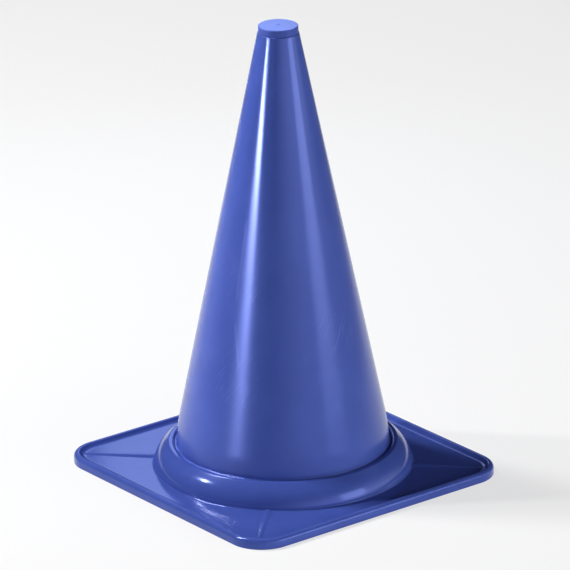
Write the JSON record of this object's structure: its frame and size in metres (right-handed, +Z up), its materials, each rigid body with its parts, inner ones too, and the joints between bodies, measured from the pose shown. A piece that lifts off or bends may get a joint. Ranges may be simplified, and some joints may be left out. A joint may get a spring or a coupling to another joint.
{
  "type": "sports marker cone",
  "caption": "Glossy blue plastic marker cone: a hollow tapered cone with a flat cap, standing in the rounded collar of a square ribbed base, open below for stacking.",
  "frame": {"origin": "on the ground, under the cone's axis, in the middle of the square base", "axes": "+Z up along the cone's axis, +X and +Y square to the base's sides"},
  "size_m": [0.2064, 0.2064, 0.3],
  "materials": {
    "blue_plastic": "glossy moulded polyethylene, mid blue, with fine handling scratches"
  },
  "bodies": {
    "root": {"cone_body": "blue_plastic", "base_plate": "blue_plastic", "top_cap": "blue_plastic"}
  },
  "joints": []
}
